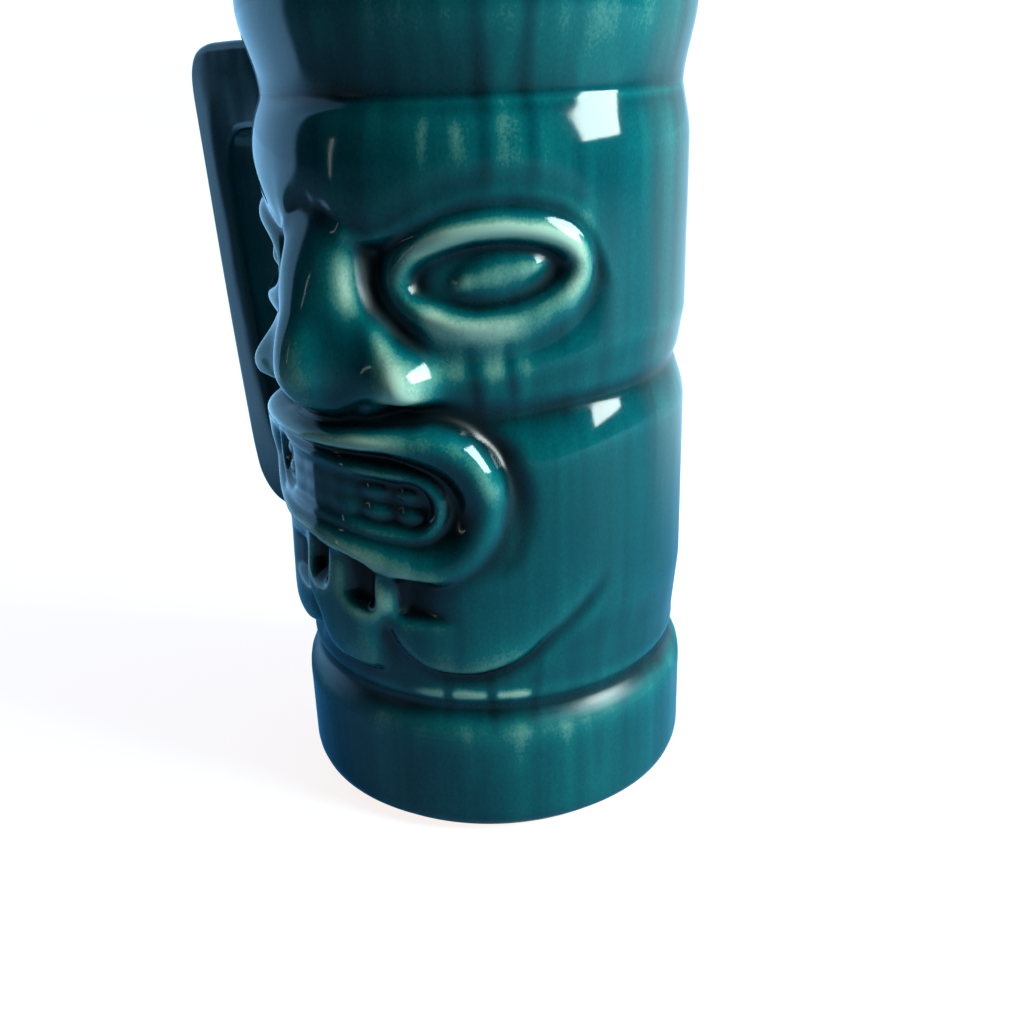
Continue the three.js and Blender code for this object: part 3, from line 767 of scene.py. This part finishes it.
def softbox(name, bearing, elevation, distance, size, power, colour):
    """A rectangular light that faces the mug."""
    light = bpy.data.lights.new(name, "AREA")
    light.shape = "RECTANGLE"
    light.size, light.size_y = size
    light.energy = power
    light.color = colour
    made = bpy.data.objects.new(name, light)
    a, e = math.radians(bearing), math.radians(elevation)
    direction = Vector((math.sin(a) * math.cos(e), -math.cos(a) * math.cos(e), math.sin(e)))
    made.location = LIGHTS_AIM + direction * distance
    made.rotation_mode = "QUATERNION"
    made.rotation_quaternion = direction.to_track_quat("Z", "Y")
    bpy.context.scene.collection.objects.link(made)


# The studio round the mug, by bearing from the front of the face. It is dark in front, where
# the camera stands, and pale behind. First the light it gives, then what the glaze mirrors.
ROOM_LIGHT = [
    (-180, (0.36, 0.56, 0.76)), (-135, (0.34, 0.58, 0.86)), (-75, (0.26, 0.46, 0.72)),
    (-52, (0.04, 0.06, 0.10)), (-30, (0.014, 0.012, 0.016)), (45, (0.014, 0.013, 0.014)),
    (72, (0.12, 0.19, 0.20)), (95, (0.45, 0.62, 0.64)), (140, (0.64, 0.86, 0.95)),
    (180, (0.36, 0.56, 0.76)),
]
MIRRORED_ROOM = [
    (-180, (0.56, 0.70, 0.76)), (-135, (0.36, 0.68, 1.02)), (-90, (0.50, 1.00, 1.50)),
    (-57, (0.62, 1.20, 1.85)), (-53, (0.03, 0.05, 0.09)), (-30, (0.014, 0.012, 0.016)),
    (45, (0.014, 0.013, 0.014)), (72, (0.02, 0.08, 0.09)), (95, (0.03, 0.20, 0.25)),
    (138, (0.06, 0.36, 0.44)), (156, (0.60, 0.72, 0.74)), (180, (0.56, 0.70, 0.76)),
]
# How bright the studio is from straight down, at 0, to straight up, at 1.
BY_HEIGHT = [(0.0, 0.5), (0.5, 1.0), (0.72, 0.9), (0.9, 0.35), (1.0, 0.25)]


def by_bearing(n, x, y, colours):
    """A colour that depends on the bearing of a direction from the front of the face."""
    turn = n.math("ARCTAN2", x, n.math("MULTIPLY", y, -1.0))
    place = n.math("ADD", n.math("DIVIDE", turn, 2 * math.pi), 0.5)
    return n.ramp(place, [((bearing + 180) / 360, colour) for bearing, colour in colours])


FLOOR_HALF = 30.0
FLOOR_COLOUR = (0.20, 0.32, 0.40, 1)
FLOOR_WHITE = (0.78, 0.74, 0.72, 1)
# A painted reflection of shaded floor: the dark blue that glossy rays see close to the foot.
NEAR_FLOOR_PAINTED_REFLECTION = (0.02, 0.14, 0.30, 1)
NEAR_FLOOR, FAR_FLOOR = 0.10, 0.30


def floor_piece():
    """A pale floor that glows. Seen from above, the mug's upright sides mirror the floor and not the
    room, so to glossy rays it glows with the studio's colours, a painted reflection, and with a
    plain dark blue close to the foot, a painted reflection of shaded floor."""
    mesh = bpy.data.meshes.new("pale_floor")
    corners = [(x * FLOOR_HALF, y * FLOOR_HALF, 0) for x, y in ((-1, -1), (1, -1), (1, 1), (-1, 1))]
    mesh.from_pydata(corners, [], [(0, 1, 2, 3)])
    made = bpy.data.objects.new("pale_floor", mesh)
    bpy.context.scene.collection.objects.link(made)
    material = bpy.data.materials.new("pale_floor")
    n = Nodes(material)
    n.shader.inputs["Base Color"].default_value = FLOOR_COLOUR
    n.shader.inputs["Roughness"].default_value = 0.7
    rays = n.add("LightPath").outputs
    x, y, _ = n.add("SeparateXYZ", Vector=n.object_place()).outputs
    mirrored = by_bearing(n, x, y, MIRRORED_ROOM)
    across = n.math("SQRT", n.math("ADD", n.math("MULTIPLY", x, x), n.math("MULTIPLY", y, y)))
    far = n.map_range(across, NEAR_FLOOR, FAR_FLOOR, 0.0, 1.0, "SMOOTHSTEP")
    mirrored = n.mix(far, NEAR_FLOOR_PAINTED_REFLECTION, mirrored)
    # The floor glows plain white to the camera, and to glossy rays as a painted reflection of the
    # studio that turns to painted dark blue near the foot.
    n.put(n.shader.inputs["Emission Color"], n.mix(rays["Is Camera Ray"], mirrored, FLOOR_WHITE))
    glowing = n.math("MAXIMUM", rays["Is Camera Ray"], rays["Is Glossy Ray"])
    n.put(n.shader.inputs["Emission Strength"], glowing)
    mesh.materials.append(material)


def studio_world():
    """A pale room that is darker in front of the mug and overhead, and white to the camera."""
    world = bpy.data.worlds.new("studio")
    bpy.context.scene.world = world
    n = Nodes(world)
    x, y, z = n.add("SeparateXYZ", Vector=n.add("TexCoord").outputs["Generated"]).outputs
    rays = n.add("LightPath").outputs
    light = by_bearing(n, x, y, ROOM_LIGHT)
    mirrored = by_bearing(n, x, y, MIRRORED_ROOM)
    around = n.mix(rays["Is Glossy Ray"], light, mirrored)
    height = n.math("ADD", n.math("MULTIPLY", z, 0.5), 0.5)
    by_height = n.ramp(height, [(at, (v, v, v)) for at, v in BY_HEIGHT])
    room = n.mix(1.0, around, by_height, "MULTIPLY")
    shown = n.mix(rays["Is Camera Ray"], room, (1, 1, 1, 1))
    n.put(n.tree.nodes["Background"].inputs["Color"], shown)


CAMERA_PLACE = Vector((0.15113, -0.16785, 0.14530))
CAMERA_BEARING, CAMERA_DOWN, CAMERA_ROLL = 40.8177, 22.4806, -1.7011
SENSOR_WIDTH, LENS = 36.0, 40.66


def studio_camera():
    """A camera off the face's left cheek that looks down at the mug, with a slight roll."""
    data = bpy.data.cameras.new("camera")
    camera = bpy.data.objects.new("camera", data)
    bpy.context.scene.collection.objects.link(camera)
    data.sensor_width = SENSOR_WIDTH
    data.lens = LENS
    data.clip_start = 0.01
    turn = Matrix.Rotation(math.radians(CAMERA_BEARING), 4, "Z")
    tilt = Matrix.Rotation(math.radians(90 - CAMERA_DOWN), 4, "X")
    roll = Matrix.Rotation(math.radians(CAMERA_ROLL), 4, "Z")
    camera.matrix_world = Matrix.Translation(CAMERA_PLACE) @ turn @ tilt @ roll
    bpy.context.scene.camera = camera


softbox("window_softbox", 110, 27, 0.9, (0.40, 0.52), 10, (0.94, 1.0, 0.97))
softbox("far_strip", -22, 8, 1.4, (0.05, 0.40), 0.16, (0.95, 1.0, 0.92))
floor_piece()
studio_world()
studio_camera()
view = bpy.context.scene.view_settings
view.view_transform = "Standard"
view.gamma = 0.84
view.exposure = 0.25
